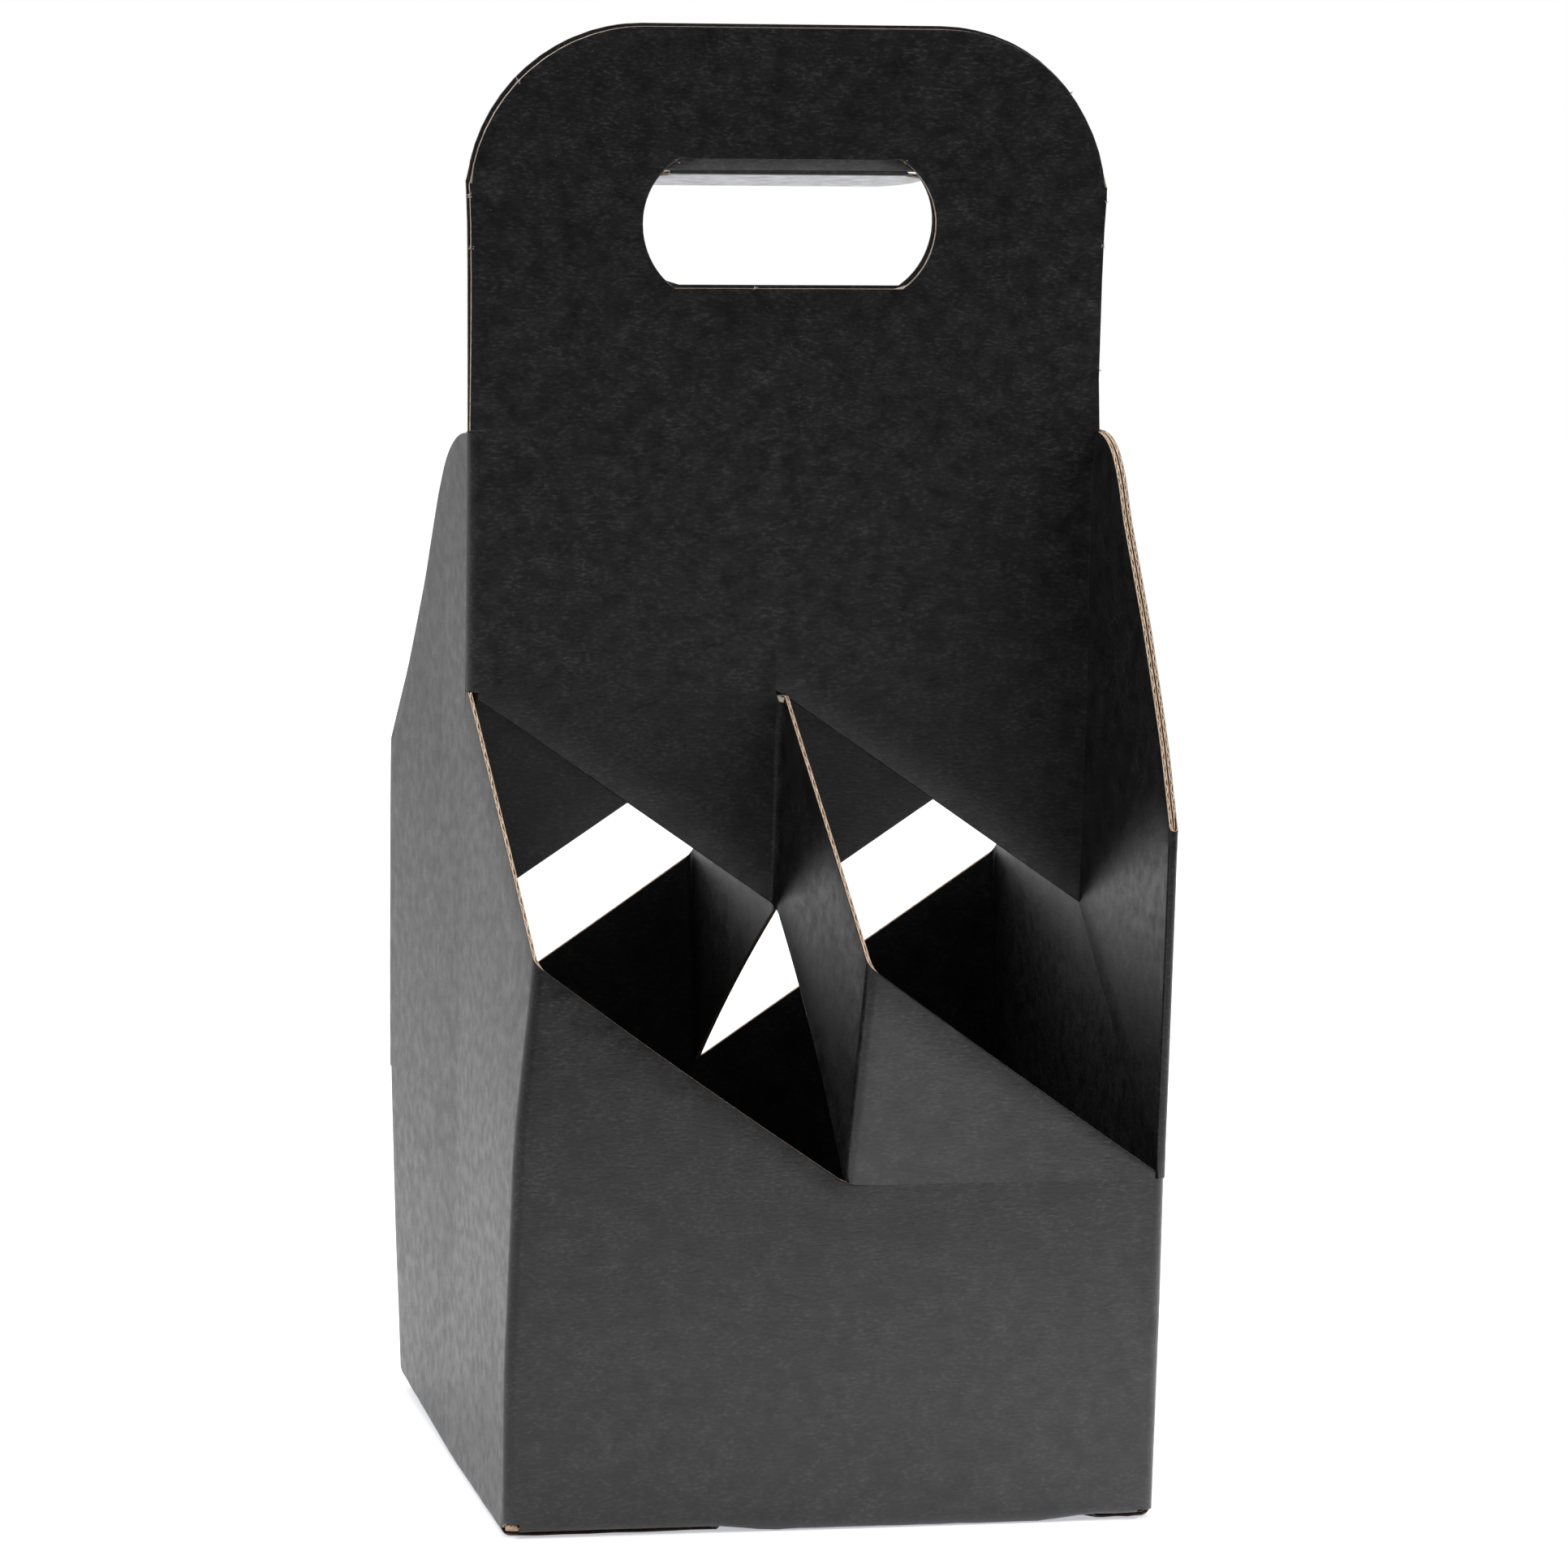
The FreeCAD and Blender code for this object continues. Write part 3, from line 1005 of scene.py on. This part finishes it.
def make_printed_liner():
    """Black-coloured paper: matt, cloudy, with short level fibres and a few pale specks."""
    material, tree, shader = new_material("black_paper")
    cloud_scale, fibre_scale, speck_scale, gloss_scale, bump_scale = 210, 1500, 2200, 330, 1100
    cloud = ramp(tree, mapped_noise(tree, cloud_scale, (1, 1, 1), 4.0),
                 ((0.32, (0.0026, 0.0026, 0.0028)), (0.68, (0.0125, 0.0122, 0.0126))))
    fibre = ramp(tree, mapped_noise(tree, fibre_scale, (0.55, 1.1, 1.4), 3.0),
                 ((0.38, grey(0.5)), (0.52, grey(0.95)), (0.68, grey(3.0))))
    speck = ramp(tree, mapped_noise(tree, speck_scale, (1, 1, 1), 1.0),
                 ((0.785, grey(0)), (0.80, grey(0.07))))
    colour = blend_colours(tree, "MULTIPLY", cloud, fibre)
    colour = blend_colours(tree, "ADD", colour, speck)
    tree.links.new(colour, shader.inputs["Base Color"])
    rough_value = ramp(tree, mapped_noise(tree, gloss_scale, (0.9, 0.9, 1.1), 5.0),
                       ((0.3, grey(0.31)), (0.7, grey(0.43))))
    tree.links.new(rough_value, shader.inputs["Roughness"])
    shader.inputs["Specular IOR Level"].default_value = 0.6
    bump = tree.nodes.new("ShaderNodeBump")
    bump.inputs["Strength"].default_value = 0.3
    bump.inputs["Distance"].default_value = 0.0001
    height = mapped_noise(tree, bump_scale, (0.5, 1.0, 1.6), 5.0)
    tree.links.new(height, bump.inputs["Height"])
    tree.links.new(bump.outputs["Normal"], shader.inputs["Normal"])
    return material


def make_bare_paper(name, scale, dark, middle, light):
    """Unprinted paper with darker and lighter fibres, as it shows in the cut edges."""
    material, tree, shader = new_material(name)
    colour = ramp(tree, mapped_noise(tree, scale, (1, 1, 1), 4.0),
                  ((0.3, dark), (0.52, middle), (0.75, light)))
    tree.links.new(colour, shader.inputs["Base Color"])
    shader.inputs["Roughness"].default_value = 0.88
    shader.inputs["Specular IOR Level"].default_value = 0.3
    bump = tree.nodes.new("ShaderNodeBump")
    bump.inputs["Strength"].default_value = 0.5
    bump.inputs["Distance"].default_value = 0.0001
    tree.links.new(mapped_noise(tree, 1800, (1, 1, 1), 4.0), bump.inputs["Height"])
    tree.links.new(bump.outputs["Normal"], shader.inputs["Normal"])
    return material


def add_math(tree, operation, one, two):
    """Result of a sum over two values, each a socket or a number."""
    node = tree.nodes.new("ShaderNodeMath")
    node.operation = operation
    for socket, value in zip(node.inputs, (one, two)):
        if isinstance(value, (int, float)):
            socket.default_value = value
        else:
            tree.links.new(value, socket)
    return node.outputs[0]


def level_along(tree, coordinates, axis, start, end, low, high):
    """Value that changes smoothly from low to high along an axis, between start and end."""
    place = tree.nodes.new("ShaderNodeTexCoord")
    split = tree.nodes.new("ShaderNodeSeparateXYZ")
    tree.links.new(place.outputs[coordinates], split.inputs["Vector"])
    level = tree.nodes.new("ShaderNodeMapRange")
    level.interpolation_type = "SMOOTHSTEP"
    level.inputs["From Min"].default_value = start
    level.inputs["From Max"].default_value = end
    level.inputs["To Min"].default_value = low
    level.inputs["To Max"].default_value = high
    tree.links.new(split.outputs[axis], level.inputs["Value"])
    return level.outputs["Result"]


def make_floor_paper():
    """Plain white paper, a little brighter to the camera so that it ends in white. To glossy rays it
    also glows, from nothing on the left to bright on the right, a painted reflection in the carrier's
    sheen.
    """
    material, tree, shader = new_material("floor_paper")
    shader.inputs["Base Color"].default_value = (0.85, 0.85, 0.85, 1)
    shader.inputs["Roughness"].default_value = 0.9
    shader.inputs["Specular IOR Level"].default_value = 0.1
    # Bluish tint of the floor's glow: to the camera it only whitens the floor, but to glossy rays it
    # is a painted reflection.
    shader.inputs["Emission Color"].default_value = (0.94, 0.95, 1, 1)
    path = tree.nodes.new("ShaderNodeLightPath")
    # Painted reflection: glow seen by glossy rays alone, rising from left to right across the floor.
    painted_reflection = level_along(tree, "Object", "X", -floor_gloss_reach, floor_gloss_reach,
                        floor_gloss_left, floor_gloss_right)
    indirect = add_math(tree, "MAXIMUM", path.outputs["Is Glossy Ray"],
                        path.outputs["Is Transmission Ray"])
    direct = add_math(tree, "MULTIPLY", path.outputs["Is Camera Ray"], floor_to_camera)
    total = add_math(tree, "ADD", direct, add_math(tree, "MULTIPLY", indirect, painted_reflection))
    tree.links.new(total, shader.inputs["Emission Strength"])
    return material


def make_floor():
    """Round white sheet under the carrier, most of it behind the carrier."""
    mesh = bmesh.new()
    bmesh.ops.create_circle(mesh, cap_ends=True, segments=96, radius=floor_radius,
                            matrix=Matrix.Translation((0, floor_back, 0)))
    data = bpy.data.meshes.new("floor")
    mesh.to_mesh(data)
    mesh.free()
    data.materials.append(make_floor_paper())
    floor = bpy.data.objects.new("floor", data)
    bpy.context.scene.collection.objects.link(floor)


def make_lamp(name, place, target, size):
    """Soft box that faces its target."""
    data = bpy.data.lights.new(name, "AREA")
    data.shape = "RECTANGLE"
    data.size, data.size_y = size, size
    data.energy = lamp_power
    lamp = bpy.data.objects.new(name, data)
    lamp.location = place
    lamp.rotation_mode = "QUATERNION"
    lamp.rotation_quaternion = (Vector(target) - Vector(place)).to_track_quat("-Z", "Y")
    bpy.context.scene.collection.objects.link(lamp)


def make_lights():
    """Two soft boxes in front, a weak one above, and a surround that is white behind the carrier
    and dim in front of it. The camera sees it white all round."""
    for name, side in (("left_box", -1), ("right_box", 1)):
        make_lamp(name, (side * 1.5, -0.9, 1.5), (0, 0, 0.12), 0.9)
    make_lamp("top_box", (0, 0.1, 1.7), (0, 0, 0), 1.4)
    world = bpy.data.worlds.new("surround")
    world.use_nodes = True
    tree = world.node_tree
    backdrop = tree.nodes["Background"]
    backdrop.inputs["Color"].default_value = (1, 1, 1, 1)
    path = tree.nodes.new("ShaderNodeLightPath")
    seen = add_math(tree, "MAXIMUM", path.outputs["Is Camera Ray"],
                    path.outputs["Is Transmission Ray"])
    level = level_along(tree, "Generated", "Y", -0.5, 0.5, surround_front, surround_back)
    tree.links.new(add_math(tree, "MAXIMUM", seen, level), backdrop.inputs["Strength"])
    bpy.context.scene.world = world


def make_camera():
    """Camera at the photograph's viewing angle."""
    place = Vector((-308.793, -1435.930, 367.857)) * MM
    yaw, pitch, roll = 0.212871, 0.154774, 0.022529
    lens = 168.374
    forward = Vector((math.sin(yaw) * math.cos(pitch), math.cos(yaw) * math.cos(pitch),
                      -math.sin(pitch)))
    level = Vector((math.cos(yaw), -math.sin(yaw), 0))
    upward = level.cross(forward)
    across = level * math.cos(roll) + upward * math.sin(roll)
    upright_axis = upward * math.cos(roll) - level * math.sin(roll)
    data = bpy.data.cameras.new("camera")
    data.lens = lens
    data.sensor_width = 36
    data.clip_start, data.clip_end = 0.05, 20
    camera = bpy.data.objects.new("camera", data)
    camera.matrix_world = Matrix((across, upright_axis, -forward)).transposed().to_4x4()
    camera.location = place
    bpy.context.scene.collection.objects.link(camera)
    bpy.context.scene.camera = camera


printed_liner = make_printed_liner()
kraft_paper = make_bare_paper("kraft_paper", 1300, (0.40, 0.25, 0.155), (0.58, 0.40, 0.27),
                              (0.70, 0.53, 0.40))
flute_medium = make_bare_paper("flute_medium", 1500, (0.46, 0.39, 0.32), (0.66, 0.58, 0.50),
                               (0.82, 0.75, 0.67))
# Dark brown paper that stands for shade on the back handle layer's cut edges: painted shade.
painted_shade_edge = make_bare_paper("painted_shade_edge", 1700, (0.03, 0.024, 0.017), (0.075, 0.06, 0.043),
                             (0.16, 0.13, 0.10))
make_carrier()
make_flap("front_flap_board", "front_flap", "front_hand_flap", -ply, lower_crease, 1, front_flap_slip)
make_flap("back_flap_board", "back_flap", "back_hand_flap", ply, upper_crease, 0, back_layer_slip)
make_floor()
make_lights()
make_camera()
bpy.context.scene.view_settings.view_transform = "Standard"
